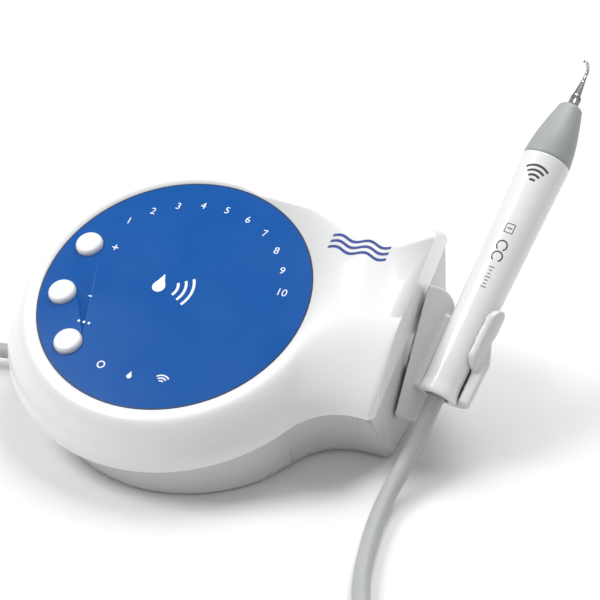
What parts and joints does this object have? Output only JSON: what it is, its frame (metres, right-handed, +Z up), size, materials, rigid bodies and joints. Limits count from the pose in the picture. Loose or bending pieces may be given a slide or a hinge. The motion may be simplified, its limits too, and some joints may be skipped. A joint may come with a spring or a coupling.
{
  "type": "ultrasonic scaler",
  "caption": "Table-top ultrasonic scaler: round tilted control panel, pivoting end holder, handpiece with hooked tip on a coiled cord.",
  "frame": {"origin": "on the table, under the middle of the bounding box of everything but the cord", "axes": "+Z up, +X towards the handpiece holder on the right end, -Y towards the user, whom the panel faces"},
  "size_m": [0.2711, 0.3481, 0.1366],
  "materials": {
    "white_abs": "gloss",
    "base_abs": "satin",
    "blue_film": "gloss",
    "button_abs": "gloss",
    "circuit_board": "satin",
    "clear_lens": "clear",
    "black_plastic": "satin",
    "grey_plastic": "satin",
    "steel": "plated",
    "brass": "turned",
    "copper": "enamelled wire",
    "silicone": "translucent",
    "ferrite": "sintered",
    "aluminium": "extruded",
    "capacitor_sleeve": "sleeved",
    "rubber": "matt",
    "holder_abs": "satin",
    "nylon": "satin",
    "barrel_white": "gloss",
    "nose_grey": "satin",
    "ceramic": "fired",
    "titanium": "turned",
    "tip_steel": "polished",
    "cord_silicone": "satin"
  },
  "bodies": {
    "console": {"housing_screws": "steel", "display_screws": "steel", "display_board": "circuit_board", "indicator_leds": "clear_lens", "button_switches": "black_plastic", "control_film": "blue_film", "plate_screws": "steel", "rear_plate": "grey_plastic", "foot_switch_socket": "black_plastic", "power_socket": "black_plastic", "socket_pins": "brass", "rocker_frame": "black_plastic", "water_inlet": "brass", "water_filter": "grey_plastic", "solenoid_valve": "brass", "solenoid_coil": "copper", "solenoid_plunger": "steel", "needle_valve": "brass", "valve_hose": "silicone", "outlet_hose": "silicone", "main_board_screws": "steel", "main_board": "circuit_board", "transformer_core": "ferrite", "transformer_winding": "copper", "heat_sink": "aluminium", "power_transistors": "black_plastic", "capacitors": "capacitor_sleeve", "ribbon_cable": "grey_plastic", "control_chip": "black_plastic", "rubber_feet": "rubber", "cord_lead": "cord_silicone", "cord_coil": "cord_silicone", "coil_tie": "black_plastic", "cord_return": "cord_silicone", "cord_gland": "rubber", "upper_housing": "white_abs", "lower_housing": "base_abs"},
    "holder": {"holder": "holder_abs", "friction_washer": "nylon", "holder_screw": "steel"},
    "handpiece": {"handpiece_barrel": "barrel_white", "nose_cone": "nose_grey", "light_guide": "clear_lens", "led_board": "circuit_board", "back_mass": "steel", "piezo_rings": "ceramic", "electrodes": "brass", "stack_bolt": "steel", "transducer_horn": "titanium", "seal_rings": "rubber", "cord_connector": "grey_plastic", "connector_pins": "brass", "connector_socket": "nylon", "scaler_tip": "tip_steel", "cord_stub": "cord_silicone"},
    "button_plus": {"button_plus": "button_abs"},
    "button_minus": {"button_minus": "button_abs"},
    "button_mode": {"button_mode": "button_abs"},
    "water_knob": {"water_knob": "grey_plastic"},
    "power_rocker": {"power_rocker": "black_plastic"}
  },
  "joints": [
    {"name": "button_plus_press", "type": "slide", "parent": "console", "child": "button_plus", "axis": [0, 0.3681, -0.9298], "range_m": [0, 0.0008], "stiffness_N_per_m": 800},
    {"name": "button_minus_press", "type": "slide", "parent": "console", "child": "button_minus", "axis": [0, 0.3681, -0.9298], "range_m": [0, 0.0008], "stiffness_N_per_m": 800},
    {"name": "button_mode_press", "type": "slide", "parent": "console", "child": "button_mode", "axis": [0, 0.3681, -0.9298], "range_m": [0, 0.0008], "stiffness_N_per_m": 800},
    {"name": "water_knob_turn", "type": "hinge", "parent": "console", "child": "water_knob", "pos_m": [-0.01823, 0.01854, 0.029], "axis": [0, -1, 0], "range_deg": [0, 270]},
    {"name": "power_rocker_tilt", "type": "hinge", "parent": "console", "child": "power_rocker", "pos_m": [0.02737, 0.01604, 0.029], "axis": [1, 0, 0], "range_deg": [0, 16]},
    {"name": "holder_tilt", "type": "hinge", "parent": "console", "child": "holder", "pos_m": [0.06617, -0.00756, 0.0405], "axis": [1, 0, 0], "range_deg": [-15, 25]},
    {"name": "handpiece_lift", "type": "slide", "parent": "holder", "child": "handpiece", "axis": [0.1497, 0.7558, 0.6374], "range_m": [0, 0.08]}
  ]
}
